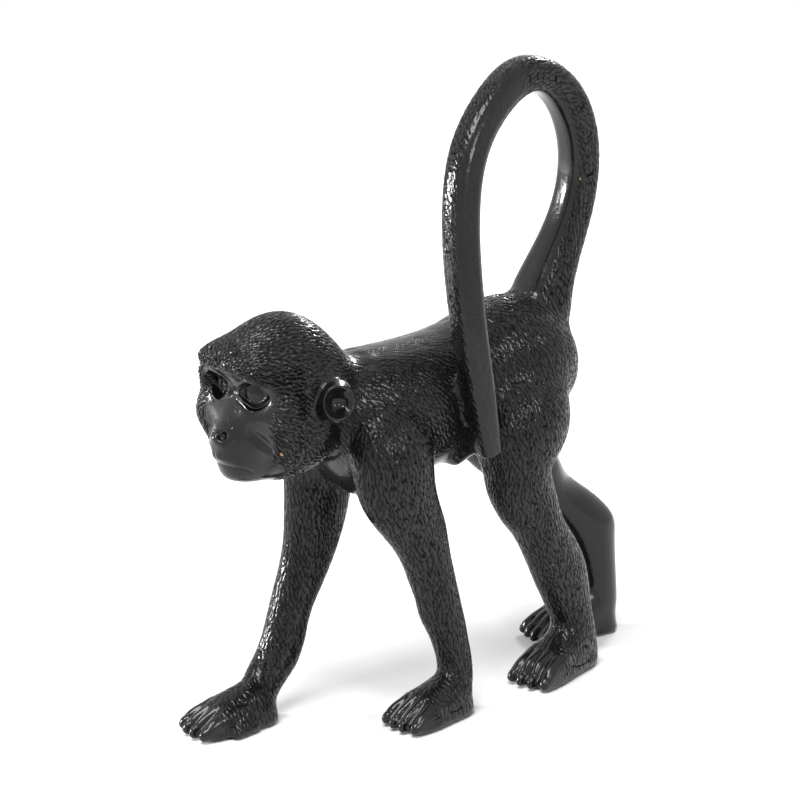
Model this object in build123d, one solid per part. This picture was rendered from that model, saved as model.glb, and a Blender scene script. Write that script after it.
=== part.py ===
"""A walking monkey ornament in cast resin: seven castings, pinned with steel and glued, on felt pads.

Millimetres. The monkey looks along -Y, its left side is +X, and it stands on Z = 0.
Positions are worked out about the middle of the trunk, and the finished pieces are then moved
so that the origin is under the middle of the whole ornament.
"""
from build123d import *
import math
import os

# Fits
GLUE_GAP = 0.1
CUT_OVERRUN = 30.0

# Trunk
TRUNK_LENGTH = 193.0
TRUNK_FRONT = 90.0
TRUNK_AXIS_HEIGHT = 196.0
TRUNK_HALF_WIDTH = 38.0
TRUNK_HALF_DEPTH = 46.0
# Each station: along the trunk, rise of its axis, half width, half depth.
TRUNK_SHARES = (
    (0.000, -0.05, 0.58, 0.52),
    (0.075, -0.13, 0.87, 0.83),
    (0.200, -0.26, 1.00, 1.00),
    (0.370, -0.15, 0.95, 0.93),
    (0.520, 0.00, 0.87, 0.92),
    (0.670, 0.15, 0.92, 0.92),
    (0.820, 0.18, 0.95, 0.88),
    (0.930, 0.11, 0.76, 0.72),
    (1.000, 0.02, 0.37, 0.36),
)

# Arms: shoulder out, along and up, and how far each wrist is from it along Y
SHOULDER_OUT = 33.0
SHOULDER_AHEAD = 58.0
SHOULDER_DROP = 18.0
SHOULDER = (SHOULDER_OUT, -SHOULDER_AHEAD, TRUNK_AXIS_HEIGHT - SHOULDER_DROP)
ARM_HALF_WIDTH = 18.0
ARM_HALF_DEPTH = 28.0
LEFT_ARM_REACH = 50.0
RIGHT_ARM_REACH = -50.0
# Each limb station: drop, reach, out, half width, half depth.
LEFT_ARM_SHARES = (
    (-0.16, 0.10, 0.52, 0.50, 0.55),
    (-0.07, 0.05, 0.78, 0.86, 0.88),
    (0.02, 0.00, 0.99, 1.00, 1.00),
    (0.13, 0.02, 1.09, 0.94, 0.95),
    (0.28, 0.24, 1.09, 0.80, 0.68),
    (0.43, 0.50, 1.09, 0.72, 0.51),
    (0.59, 0.70, 1.08, 0.66, 0.44),
    (0.75, 0.87, 1.07, 0.60, 0.42),
    (0.88, 0.95, 1.06, 0.60, 0.41),
    (0.95, 0.95, 1.05, 0.56, 0.38),
)
RIGHT_ARM_SHARES = (
    (-0.16, -0.10, 0.52, 0.50, 0.55),
    (-0.07, -0.02, 0.78, 0.86, 0.86),
    (0.02, 0.04, 0.97, 1.00, 0.97),
    (0.16, 0.08, 1.03, 0.92, 0.88),
    (0.33, 0.16, 1.02, 0.82, 0.75),
    (0.47, 0.30, 1.00, 0.74, 0.61),
    (0.61, 0.54, 0.96, 0.68, 0.49),
    (0.75, 0.78, 0.92, 0.62, 0.43),
    (0.87, 1.02, 0.88, 0.62, 0.43),
    (0.94, 1.14, 0.86, 0.56, 0.39),
)

# Legs: hip out, along and up, and how far each ankle is from it along Y
HIP_OUT = 28.0
HIP_BEHIND = 50.0
HIP_DROP = 14.0
HIP = (HIP_OUT, HIP_BEHIND, TRUNK_AXIS_HEIGHT - HIP_DROP)
LEG_HALF_WIDTH = 20.0
LEG_HALF_DEPTH = 33.0
LEFT_LEG_REACH = 46.0
RIGHT_LEG_REACH = 103.0
LEFT_LEG_SHARES = (
    (-0.16, 0.05, 0.50, 0.50, 0.55),
    (-0.07, 0.04, 0.80, 0.86, 0.90),
    (0.02, -0.02, 1.03, 1.00, 1.00),
    (0.12, -0.18, 1.18, 0.95, 0.88),
    (0.23, -0.26, 1.20, 0.88, 0.73),
    (0.37, 0.02, 1.18, 0.80, 0.57),
    (0.51, 0.37, 1.10, 0.72, 0.53),
    (0.62, 0.64, 1.00, 0.68, 0.56),
    (0.75, 0.86, 0.90, 0.62, 0.49),
    (0.86, 0.98, 0.86, 0.62, 0.46),
    (0.94, 0.98, 0.84, 0.56, 0.40),
)
RIGHT_LEG_SHARES = (
    (-0.16, 0.02, 0.50, 0.50, 0.55),
    (-0.07, 0.04, 0.80, 0.86, 0.88),
    (0.02, 0.09, 1.03, 1.00, 0.97),
    (0.18, 0.24, 1.14, 0.92, 0.82),
    (0.31, 0.46, 1.10, 0.80, 0.67),
    (0.45, 0.73, 0.96, 0.73, 0.52),
    (0.59, 0.93, 0.79, 0.68, 0.54),
    (0.75, 0.99, 0.64, 0.62, 0.45),
    (0.86, 1.00, 0.60, 0.62, 0.43),
    (0.94, 0.99, 0.58, 0.56, 0.38),
)

# Hands and feet: where each heel stands, out and along, and how far it turns out
HAND_LENGTH = 60.0
HAND_HALF_WIDTH = 16.0
HAND_HEIGHT = 25.0
LEFT_HAND_HEEL = (37.0, -5.0)
RIGHT_HAND_HEEL = (23.0, -108.0)
HAND_TURN_OUT = 5.0
FOOT_LENGTH = 69.0
FOOT_HALF_WIDTH = 16.0
FOOT_HEIGHT = 31.0
LEFT_FOOT_HEEL = (22.0, 108.0)
RIGHT_FOOT_HEEL = (13.0, 162.0)
FOOT_TURN_OUT = 13.0
# Each paw station: along from the heel, half width, top.
HAND_SHARES = (
    (-0.05, 0.24, 0.26),
    (0.00, 0.55, 0.60),
    (0.12, 0.80, 0.96),
    (0.32, 0.90, 0.92),
    (0.54, 1.00, 0.74),
    (0.74, 1.00, 0.54),
    (0.88, 0.90, 0.36),
)
FOOT_SHARES = (
    (-0.05, 0.24, 0.24),
    (0.00, 0.52, 0.50),
    (0.12, 0.78, 0.92),
    (0.30, 0.86, 1.00),
    (0.50, 0.94, 0.76),
    (0.72, 1.00, 0.52),
    (0.88, 0.92, 0.34),
)
PAW_DEPTH_SHARE = 0.7
DIGITS = 4
DIGIT_WIDTH_SHARE = 0.29
DIGIT_PITCH_SHARE = 0.49
DIGIT_SPREAD_SHARE = 1.05
DIGIT_STAGGER_SHARE = 0.035
DIGIT_TIP_SHARE = 0.85
KNUCKLE_SHARE = 0.60
KNUCKLE_RISE_SHARE = 0.45
THUMB_ROOT_SHARE = 0.75
THUMB_OUT_SHARE = 1.10
THUMB_BACK_SHARE = 0.30
THUMB_TIP_SHARE = 0.62

# Head, about the neck joint
NECK_AHEAD = 82.0
NECK_RISE = 15.0
NECK_HEIGHT = TRUNK_AXIS_HEIGHT + NECK_RISE
HEAD_LENGTH = 82.0
HEAD_HALF_WIDTH = 36.0
HEAD_HALF_HEIGHT = 49.0
# Each head station: ahead of the neck, rise, half width, half height.
SKULL_SHARES = (
    (-0.10, 0.12, 0.44, 0.22),
    (-0.01, 0.14, 0.73, 0.46),
    (0.17, 0.18, 0.93, 0.70),
    (0.36, 0.22, 1.00, 0.78),
    (0.55, 0.27, 0.98, 0.67),
    (0.71, 0.40, 0.93, 0.41),
    (0.82, 0.49, 0.86, 0.21),
    (0.875, 0.50, 0.72, 0.10),
    (0.905, 0.495, 0.50, 0.045),
)
FACE_SHARES = (
    (-0.02, -0.30, 0.42, 0.24),
    (0.08, -0.36, 0.68, 0.40),
    (0.20, -0.41, 0.83, 0.50),
    (0.36, -0.42, 0.92, 0.56),
    (0.53, -0.36, 0.99, 0.62),
    (0.67, -0.27, 1.07, 0.68),
    (0.73, -0.33, 0.99, 0.61),
    (0.785, -0.41, 0.66, 0.51),
    (0.85, -0.47, 0.42, 0.39),
    (0.915, -0.49, 0.29, 0.26),
    (0.97, -0.475, 0.19, 0.15),
    (0.995, -0.47, 0.09, 0.07),
)
RUFF_OUT = 29.5
RUFF_AHEAD = 50.0
RUFF_RISE = -11.0
RUFF_RADIUS = 11.0
RUFF_HALF_HEIGHT = 24.0
EYE_OUT = 15.0
EYE_AHEAD = 53.0
EYE_RISE = 9.0
EYE_RADIUS = 7.5
SOCKET_RADIUS = 10.5
SOCKET_AHEAD = 5.0
EAR_OUT = 36.5
EAR_AHEAD = 21.0
EAR_RISE = 3.0
EAR_RADIUS = 13.0
EAR_HALF_THICKNESS = 5.0
EAR_RIM = 3.0
EAR_OUTWARD_TURN = 75.0
EAR_FORWARD_TURN = 25.0

# Tail: a loop up from the rump, over, and down the left flank
TAIL_SIDE_STEP = 42.0
TAIL_FRONT = -5.0
TAIL_LOOP_LENGTH = 118.0
TAIL_ROOT_RISE = 26.0
TAIL_ROOT_HEIGHT = TRUNK_AXIS_HEIGHT + TAIL_ROOT_RISE
TAIL_LOOP_HEIGHT = 161.0
TAIL_WIDTH = 20.0
TAIL_THICKNESS = 21.0
TAIL_CORNER = 7.5
# Each point of the middle line: out, behind, up.
TAIL_LINE_SHARES = (
    (0.00, 0.72, 0.00),
    (0.00, 0.81, 0.20),
    (0.04, 0.95, 0.44),
    (0.08, 0.985, 0.62),
    (0.14, 0.90, 0.84),
    (0.26, 0.61, 1.00),
    (0.42, 0.33, 0.94),
    (0.60, 0.09, 0.76),
    (0.74, 0.00, 0.48),
    (0.88, 0.00, 0.19),
    (0.98, 0.05, -0.12),
    (0.98, 0.125, -0.37),
)
# Each section: along the line, girth.
TAIL_GIRTH_SHARES = (
    (0.00, 1.80),
    (0.06, 1.62),
    (0.12, 1.30),
    (0.19, 1.16),
    (0.27, 1.14),
    (0.35, 1.10),
    (0.43, 1.06),
    (0.51, 1.04),
    (0.59, 1.02),
    (0.67, 1.00),
    (0.76, 0.98),
    (0.86, 0.94),
    (0.95, 0.86),
    (1.00, 0.70),
)

# Fur: the main locks, cut as long shallow strokes
LOCK_LENGTH = 12.0
LOCK_RADIUS = 2.4
LOCK_DEPTH = 0.8
LOCK_PITCH = 11.5
LOCK_CLEARANCE = 8.0
TAIL_ROOT_CLEARANCE = 34.0
LOCK_DROOP_SHARE = 0.7
# The fan of locks round the trunk: first and last angle above the level, left side round to right side.
TRUNK_LOCK_FAN = (-25.0, 205.0)

# Steel inside: where each bar starts and ends, as shares of the joint or station that it follows
NECK_DOWEL_RADIUS = 4.0
NECK_DOWEL_LENGTH = 56.0
LIMB_ROD_RADIUS = 3.5
ROD_ROOT_RISE = 14.0
ROD_ROOT_OUT_SHARE = 0.35
ARM_ROD_END_STATION = 5
LEG_ROD_END_STATION = 4
ROOT_PIN_RADIUS = 3.0
ROOT_PIN_START = 0.01
ROOT_PIN_END = 0.16
TIP_PIN_RADIUS = 2.0
TIP_PIN_LENGTH = 18.0
TIP_PIN_PLACE = 0.955
TIP_PIN_IN_SHARE = 0.25

# Felt pads
PAD_THICKNESS = 1.5
PAD_MIDDLE_SHARE = 0.48
PAD_LENGTH_SHARE = 0.34
PAD_WIDTH_SHARE = 0.66


# Arms and legs share one way of tapering, so each limb is a line of stations hung from its joint.
def stations(shares, side, root, drop, reach):
    out, place, height = root
    return [Vector(side * out * o, place + r * reach, height - d * drop) for d, r, o, _, _ in shares]


def ways_along(points):
    ways = []
    for index in range(len(points)):
        before = points[max(index - 1, 0)]
        after = points[min(index + 1, len(points) - 1)]
        ways.append((after - before).normalized())
    return ways


def ellipse_at(point, way, half_width, half_depth):
    return Plane(origin=point, x_dir=(1, 0, 0), z_dir=way) * Ellipse(half_width, half_depth)


def make_limb(shares, side, root, reach, half_width, half_depth):
    points = stations(shares, side, root, root[2], reach)
    sections = []
    for point, way, (_, _, _, wide, deep) in zip(points, ways_along(points), shares):
        sections.append(ellipse_at(point, way, wide * half_width, deep * half_depth))
    return loft(sections)


def make_trunk():
    sections = []
    for along, rise, wide, deep in TRUNK_SHARES:
        point = Vector(0, along * TRUNK_LENGTH - TRUNK_FRONT, TRUNK_AXIS_HEIGHT + rise * TRUNK_HALF_DEPTH)
        sections.append(ellipse_at(point, (0, 1, 0), wide * TRUNK_HALF_WIDTH, deep * TRUNK_HALF_DEPTH))
    return loft(sections)


def head_loft(shares):
    sections = []
    for along, rise, wide, high in shares:
        point = Vector(0, -along * HEAD_LENGTH, rise * HEAD_HALF_HEIGHT)
        sections.append(ellipse_at(point, (0, -1, 0), wide * HEAD_HALF_WIDTH, high * HEAD_HALF_HEIGHT))
    return loft(sections)


def spheroid(radius, half_length):
    """A ball drawn out, or pressed flat, along Z."""
    rim = EllipticalCenterArc((0, 0), radius, half_length, start_angle=-90, arc_size=180)
    half = make_face([rim, Line((0, half_length), (0, -half_length))])
    return revolve(Plane.XZ * half, Axis.Z)


def make_ear():
    """A shallow cup whose mouth looks along Z."""
    cup = spheroid(EAR_RADIUS, EAR_HALF_THICKNESS)
    hollow = Pos(0, 0, EAR_HALF_THICKNESS) * spheroid(EAR_RADIUS - EAR_RIM, EAR_HALF_THICKNESS)
    return cup - hollow


def make_head():
    head = head_loft(SKULL_SHARES) + head_loft(FACE_SHARES)
    for side in (1, -1):
        head += Pos(side * RUFF_OUT, -RUFF_AHEAD, RUFF_RISE) * spheroid(RUFF_RADIUS, RUFF_HALF_HEIGHT)
        eye = Pos(side * EYE_OUT, -EYE_AHEAD, EYE_RISE) * Rot(90, 0, 0)
        head -= eye * Pos(0, 0, SOCKET_AHEAD) * Sphere(SOCKET_RADIUS)
        head += eye * Sphere(EYE_RADIUS)
        ear = Rot(0, side * EAR_OUTWARD_TURN, 0) * make_ear()
        ear = Rot(0, 0, -side * EAR_FORWARD_TURN) * ear
        head += Pos(side * EAR_OUT, -EAR_AHEAD, EAR_RISE) * ear
    return Pos(0, -NECK_AHEAD, NECK_HEIGHT) * head


def make_digit(radius, length):
    """A finger or toe along Z, thinner at its round tip."""
    tip = radius * DIGIT_TIP_SHARE
    outline = make_face([
        Line((0, 0), (radius, 0)),
        Line((radius, 0), (tip, length - tip)),
        CenterArc((0, length - tip), tip, 0, 90),
        Line((0, length), (0, 0)),
    ])
    return revolve(Plane.XZ * outline, Axis.Z)


def make_paw(shares, length, half_width, height, thumb_side):
    """A hand or foot with its heel at the origin, pointing along -Y, deeper than the floor."""
    sections = []
    for along, wide, top in shares:
        half = top * height * PAW_DEPTH_SHARE
        point = Vector(0, -along * length, top * height - half)
        sections.append(ellipse_at(point, (0, -1, 0), wide * half_width, half))
    paw = loft(sections)
    radius = half_width * DIGIT_WIDTH_SHARE
    for index in range(DIGITS):
        across = (index - (DIGITS - 1) / 2) * DIGIT_PITCH_SHARE * half_width
        back = abs(index - (DIGITS - 1) / 2) * DIGIT_STAGGER_SHARE * length
        start = Vector(across, -KNUCKLE_SHARE * length + back, height * KNUCKLE_RISE_SHARE)
        end = Vector(across * DIGIT_SPREAD_SHARE, -length + back, radius * DIGIT_TIP_SHARE)
        paw += Plane(origin=start, z_dir=end - start) * make_digit(radius, (end - start).length)
    start = Vector(thumb_side * half_width * THUMB_ROOT_SHARE, -THUMB_BACK_SHARE * length, radius)
    end = Vector(thumb_side * half_width * THUMB_OUT_SHARE, -THUMB_TIP_SHARE * length, radius * DIGIT_TIP_SHARE)
    return paw + Plane(origin=start, z_dir=end - start) * make_digit(radius, (end - start).length)


def set_down(paw, side, heel, toe_out):
    return Pos(side * heel[0], heel[1], 0) * Rot(0, 0, side * toe_out) * paw


def make_tail_line():
    points = []
    for out, behind, up in TAIL_LINE_SHARES:
        points.append(Vector(out * TAIL_SIDE_STEP, TAIL_FRONT + behind * TAIL_LOOP_LENGTH,
                             TAIL_ROOT_HEIGHT + up * TAIL_LOOP_HEIGHT))
    return Spline(*points)


def make_tail(line):
    sections = []
    for along, wide in TAIL_GIRTH_SHARES:
        plane = Plane(origin=line @ along, x_dir=(1, 0, 0), z_dir=line % along)
        outline = RectangleRounded(wide * TAIL_WIDTH, wide * TAIL_THICKNESS, wide * TAIL_CORNER)
        sections.append(plane * outline)
    return loft(sections)


def make_bar(start, end, radius, gap):
    length = (end - start).length + 2 * gap
    middle = (start + end) / 2
    return Plane(origin=middle, z_dir=end - start) * Cylinder(radius + gap, length)


def make_pad(heel, side, toe_out, length, half_width):
    """A felt pad under a paw, clear of the edge of its sole."""
    slab = extrude(Pos(0, -PAD_MIDDLE_SHARE * length) * Ellipse(
        PAD_WIDTH_SHARE * half_width, PAD_LENGTH_SHARE * length), PAD_THICKNESS)
    return set_down(slab, side, heel, toe_out)


def cut_floor(piece):
    """Level the sole at the top of its felt pad."""
    box = piece.bounding_box()
    slab = Box(box.size.X + CUT_OVERRUN, box.size.Y + CUT_OVERRUN, CUT_OVERRUN,
               align=(Align.CENTER, Align.CENTER, Align.MAX))
    middle = box.center()
    return piece - Pos(middle.X, middle.Y, PAD_THICKNESS) * slab


def make_castings(tail_line):
    left_hand = make_paw(HAND_SHARES, HAND_LENGTH, HAND_HALF_WIDTH, HAND_HEIGHT, -1)
    right_hand = make_paw(HAND_SHARES, HAND_LENGTH, HAND_HALF_WIDTH, HAND_HEIGHT, 1)
    left_foot = make_paw(FOOT_SHARES, FOOT_LENGTH, FOOT_HALF_WIDTH, FOOT_HEIGHT, -1)
    right_foot = make_paw(FOOT_SHARES, FOOT_LENGTH, FOOT_HALF_WIDTH, FOOT_HEIGHT, 1)
    left_leg = make_limb(LEFT_LEG_SHARES, 1, HIP, LEFT_LEG_REACH, LEG_HALF_WIDTH, LEG_HALF_DEPTH)
    right_leg = make_limb(RIGHT_LEG_SHARES, -1, HIP, RIGHT_LEG_REACH, LEG_HALF_WIDTH, LEG_HALF_DEPTH)
    left_arm = make_limb(LEFT_ARM_SHARES, 1, SHOULDER, LEFT_ARM_REACH, ARM_HALF_WIDTH, ARM_HALF_DEPTH)
    right_arm = make_limb(RIGHT_ARM_SHARES, -1, SHOULDER, RIGHT_ARM_REACH, ARM_HALF_WIDTH, ARM_HALF_DEPTH)
    return {
        "torso": make_trunk(),
        "left_leg": cut_floor(left_leg + set_down(left_foot, 1, LEFT_FOOT_HEEL, FOOT_TURN_OUT)),
        "right_leg": cut_floor(right_leg + set_down(right_foot, -1, RIGHT_FOOT_HEEL, FOOT_TURN_OUT)),
        "left_arm": cut_floor(left_arm + set_down(left_hand, 1, LEFT_HAND_HEEL, HAND_TURN_OUT)),
        "right_arm": cut_floor(right_arm + set_down(right_hand, -1, RIGHT_HAND_HEEL, HAND_TURN_OUT)),
        "head": make_head(),
        "tail": make_tail(tail_line),
    }


def seat_castings(castings):
    """Cut each casting by the larger ones before it, so that they meet face to face."""
    seated = {}
    for name, piece in castings.items():
        for other in seated.values():
            if piece.bounding_box().overlaps(other.bounding_box()):
                piece = piece - other
        solids = piece.solids()
        seated[name] = max(solids, key=lambda solid: solid.volume)
        print(name, len(solids), seated[name].is_valid, round(seated[name].volume))
    return seated


def limb_rod_ends(shares, side, root, reach, end_station):
    start = Vector(side * root[0] * ROD_ROOT_OUT_SHARE, root[1], root[2] + ROD_ROOT_RISE)
    return start, stations(shares, side, root, root[2], reach)[end_station]


def make_bars(tail_line, gap):
    """The steel dowels and rods, or with a gap their sockets."""
    neck = Vector(0, -NECK_AHEAD, TRUNK_AXIS_HEIGHT)
    half = Vector(0, NECK_DOWEL_LENGTH / 2, 0)
    bars = {"neck_dowel": make_bar(neck + half, neck - half, NECK_DOWEL_RADIUS, gap)}
    for name, shares, side, root, reach, station in (
        ("left_arm_rod", LEFT_ARM_SHARES, 1, SHOULDER, LEFT_ARM_REACH, ARM_ROD_END_STATION),
        ("right_arm_rod", RIGHT_ARM_SHARES, -1, SHOULDER, RIGHT_ARM_REACH, ARM_ROD_END_STATION),
        ("left_leg_rod", LEFT_LEG_SHARES, 1, HIP, LEFT_LEG_REACH, LEG_ROD_END_STATION),
        ("right_leg_rod", RIGHT_LEG_SHARES, -1, HIP, RIGHT_LEG_REACH, LEG_ROD_END_STATION),
    ):
        start, end = limb_rod_ends(shares, side, root, reach, station)
        bars[name] = make_bar(start, end, LIMB_ROD_RADIUS, gap)
    bars["tail_root_pin"] = make_bar(tail_line @ ROOT_PIN_START, tail_line @ ROOT_PIN_END, ROOT_PIN_RADIUS, gap)
    bars["tail_tip_pin"] = make_tip_pin(tail_line, gap)
    return bars


def make_tip_pin(line, gap):
    """The pin across the tip of the tail into the flank."""
    middle = line @ TIP_PIN_PLACE
    half = Vector(TIP_PIN_LENGTH / 2, 0, 0)
    inward = Vector(-TIP_PIN_LENGTH / 2 + TAIL_WIDTH * TIP_PIN_IN_SHARE, 0, 0)
    return make_bar(middle + inward - half, middle + inward + half, TIP_PIN_RADIUS, gap)


def make_pads():
    return {
        "left_hand_pad": make_pad(LEFT_HAND_HEEL, 1, HAND_TURN_OUT, HAND_LENGTH, HAND_HALF_WIDTH),
        "right_hand_pad": make_pad(RIGHT_HAND_HEEL, -1, HAND_TURN_OUT, HAND_LENGTH, HAND_HALF_WIDTH),
        "left_foot_pad": make_pad(LEFT_FOOT_HEEL, 1, FOOT_TURN_OUT, FOOT_LENGTH, FOOT_HALF_WIDTH),
        "right_foot_pad": make_pad(RIGHT_FOOT_HEEL, -1, FOOT_TURN_OUT, FOOT_LENGTH, FOOT_HALF_WIDTH),
    }


def drill_sockets(pieces, sockets):
    for name in pieces:
        for socket in sockets.values():
            if pieces[name].bounding_box().overlaps(socket.bounding_box()):
                drilled = pieces[name] - socket
                pieces[name] = max(drilled.solids(), key=lambda solid: solid.volume)
        print(name, "drilled", pieces[name].is_valid, round(pieces[name].volume))


def with_halfway(shares):
    """The stations of a loft, with one more halfway between each two."""
    rows = []
    for before, after in zip(shares, shares[1:]):
        rows.append(before)
        rows.append(tuple((one + two) / 2 for one, two in zip(before, after)))
    return rows


def fan_places(middle, half_width, half_depth, fan, shift):
    """Places round one elliptical section, a lock pitch apart, each with the way out of the surface."""
    step = math.degrees(LOCK_PITCH / max(half_width, half_depth))
    angle = fan[0] + shift * step
    places = []
    while angle < fan[1]:
        across, up = math.cos(math.radians(angle)), math.sin(math.radians(angle))
        place = middle + Vector(half_width * across, 0, half_depth * up)
        places.append((place, Vector(across / half_width, 0, up / half_depth).normalized()))
        angle += step
    return places


def trunk_places():
    places = []
    for row, (along, rise, wide, deep) in enumerate(with_halfway(TRUNK_SHARES[1:-1])):
        middle = Vector(0, along * TRUNK_LENGTH - TRUNK_FRONT, TRUNK_AXIS_HEIGHT + rise * TRUNK_HALF_DEPTH)
        places += fan_places(middle, wide * TRUNK_HALF_WIDTH, deep * TRUNK_HALF_DEPTH, TRUNK_LOCK_FAN, row % 2 / 2)
    return [place for place in places if is_bare(place[0])]


def is_bare(place):
    """Whether a place on the trunk is clear of the limbs, the neck and the tail."""
    for joint, reach in (
        (SHOULDER, ARM_HALF_DEPTH),
        (HIP, LEG_HALF_DEPTH),
        ((TAIL_SIDE_STEP, TAIL_FRONT, TRUNK_AXIS_HEIGHT), TAIL_WIDTH),
        ((0, TRUNK_LENGTH - TRUNK_FRONT, TAIL_ROOT_HEIGHT), TAIL_ROOT_CLEARANCE),
    ):
        away = Vector(abs(place.X) - joint[0], place.Y - joint[1], place.Z - joint[2])
        if away.length < reach + LOCK_CLEARANCE:
            return False
    return place.Y > -NECK_AHEAD + LOCK_LENGTH


def make_lock(place, out):
    """A long stroke that follows the fur back along the body and down its sides."""
    flow = Vector(0, 1, -LOCK_DROOP_SHARE * abs(out.X))
    way = (flow - out * flow.dot(out)).normalized()
    middle = place + out * (LOCK_RADIUS - LOCK_DEPTH)
    return Plane(origin=middle, x_dir=out, z_dir=way) * spheroid(LOCK_RADIUS, LOCK_LENGTH / 2)


def carve_locks(piece, places):
    carved = piece - [make_lock(place, out) for place, out in places]
    print(len(places), "locks")
    return max(carved.solids(), key=lambda solid: solid.volume)


def export_all(pieces):
    """Move everything so that the origin is under the middle of the ornament, and write it."""
    os.makedirs("parts", exist_ok=True)
    box = Compound(list(pieces.values())).bounding_box()
    print("middle", box.center(), "size", box.size)
    home = Pos(-box.center().X, -box.center().Y, -box.min.Z)
    for name, piece in pieces.items():
        export_step(home * piece, f"parts/{name}.step")


def main():
    tail_line = make_tail_line()
    pieces = seat_castings(make_castings(tail_line))
    drill_sockets(pieces, make_bars(tail_line, GLUE_GAP))
    pieces["torso"] = carve_locks(pieces["torso"], trunk_places())
    pieces.update(make_bars(tail_line, 0))
    pieces.update(make_pads())
    export_all(pieces)


main()
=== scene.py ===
import math

import bmesh
import bpy
import numpy as np
from bpy.props import FloatProperty, FloatVectorProperty, IntProperty, PointerProperty
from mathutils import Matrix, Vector
from mathutils.bvhtree import BVHTree
from mathutils.kdtree import KDTree


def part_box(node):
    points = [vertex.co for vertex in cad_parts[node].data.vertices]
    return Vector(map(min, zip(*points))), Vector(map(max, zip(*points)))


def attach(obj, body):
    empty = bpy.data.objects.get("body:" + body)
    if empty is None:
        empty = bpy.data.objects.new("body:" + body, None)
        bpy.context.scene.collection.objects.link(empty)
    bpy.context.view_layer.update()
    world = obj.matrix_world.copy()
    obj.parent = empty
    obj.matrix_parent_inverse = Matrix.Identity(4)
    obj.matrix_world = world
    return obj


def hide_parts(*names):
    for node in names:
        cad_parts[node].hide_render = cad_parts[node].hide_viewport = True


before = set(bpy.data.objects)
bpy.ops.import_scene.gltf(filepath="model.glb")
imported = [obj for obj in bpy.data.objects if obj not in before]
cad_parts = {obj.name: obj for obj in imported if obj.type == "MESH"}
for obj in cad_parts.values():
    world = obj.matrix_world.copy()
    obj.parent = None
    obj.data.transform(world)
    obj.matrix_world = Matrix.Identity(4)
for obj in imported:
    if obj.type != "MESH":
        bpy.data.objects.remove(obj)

bl_info = {
    "name": "Monkey Figurine",
    "version": (1, 0, 0),
    "blender": (4, 5, 0),
    "location": "View3D > Sidebar > Figurine",
    "description": "Carves and finishes a lacquered monkey figurine over its CAD pieces",
    "category": "Object",
}

BODY = "root"
MM = 0.001

# The castings in the order they are labelled, and the pieces that go with them.
CASTINGS = ("torso", "head", "left_arm", "right_arm", "left_leg", "right_leg", "tail")
TORSO, HEAD, LEFT_ARM, RIGHT_ARM, LEFT_LEG, RIGHT_LEG, TAIL = range(len(CASTINGS))
ARMS = (LEFT_ARM, RIGHT_ARM)
LEGS = (LEFT_LEG, RIGHT_LEG)
STEEL = (
    "neck_dowel",
    "left_arm_rod",
    "right_arm_rod",
    "left_leg_rod",
    "right_leg_rod",
    "tail_root_pin",
    "tail_tip_pin",
)
PADS = ("left_hand_pad", "right_hand_pad", "left_foot_pad", "right_foot_pad")

# Sculpting is in millimetres from the monkey's mid-plane, its left at +X and its face towards -Y.
TORSO_FRONT = -90.0

# How far a seam is blended into the body, and how many smoothing passes it gets.
SHOULDER_BLEND = 24.0
NECK_BLEND = 13.0
TAIL_ROOT_BLEND = 11.0
TAIL_TIP_BLEND = 2.2
TAIL_TIP_BELOW = 205.0
SEAM_PASSES = 220
SKIN_PASSES = 6
TRUNK_PASSES = 18
RUFF_SPOT = (29.0, -131.0, 200.0)
RUFF_SPOT_RADIUS = 27.0
RUFF_PASSES = 60

# Forms pulled on the limbs: place, reach, and which way they move.
LIMB_PULLS = (
    ((34.0, 14.0, 146.0), 14.0, (0.0, 4.0, 0.0)),
    ((31.0, -52.0, 84.0), 15.0, (-2.2, -2.8, 0.0)),
    ((32.0, -41.0, 62.0), 14.0, (-2.5, -3.2, 0.0)),
    ((36.0, -20.0, 130.0), 18.0, (2.0, 2.8, 0.0)),
    ((-26.0, -86.0, 44.0), 14.0, (2.2, 2.8, 0.0)),
    ((-25.0, -89.0, 28.0), 12.0, (2.0, 2.6, 0.0)),
    ((0.0, 26.0, 153.0), 14.0, (0.0, -1.0, -8.0)),
    ((18.0, 11.0, 158.0), 12.0, (0.0, -4.0, -9.0)),
    ((26.0, 26.0, 122.0), 14.0, (2.0, 3.0, 0.0)),
    ((-17.0, 136.0, 107.0), 20.0, (-3.0, -5.0, -2.0)),
    ((-16.0, 165.0, 78.0), 12.0, (1.5, 2.5, 0.0)),
    ((22.0, 112.0, 12.0), 12.0, (1.5, 3.5, 0.0)),
    ((-28.0, 96.0, 16.0), 24.0, (1.5, 6.0, 0.0)),
    ((0.0, 10.0, 236.0), 26.0, (0.0, 0.0, -3.0)),
)

# The felt pads: the step they are remeshed at, and how often their edges are smoothed.
FELT_STEP = 0.4
FELT_PASSES = 4

# How far one smoothing pass moves a point towards its neighbours, and the part of a spot at full strength.
RELAX_STEP = 0.6
SPOT_CORE = 0.5
TINY = 1e-9

# The paws: casting, where the heel is, how far it turns out and its length.
PAWS = (
    (LEFT_ARM, (37.0, -5.0), math.radians(5.0), 60.0),
    (RIGHT_ARM, (-23.0, -108.0), math.radians(-5.0), 60.0),
    (LEFT_LEG, (22.0, 108.0), math.radians(13.0), 69.0),
    (RIGHT_LEG, (-13.0, 162.0), math.radians(-13.0), 69.0),
)
WRIST_TOP = 62.0
PAW_PASSES = 90
PAW_LIFT = 4.5
FINGER_TOP = 26.0
FINGERS = (-11.8, -3.9, 3.9, 11.8)
FINGER_GROOVES = (-7.9, 0.0, 7.9)
FINGER_GROOVE_WIDTH = 1.6
FINGER_DEPTH = 2.2
FINGER_BULGE = 0.8
FINGER_NAIL = 0.7
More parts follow.
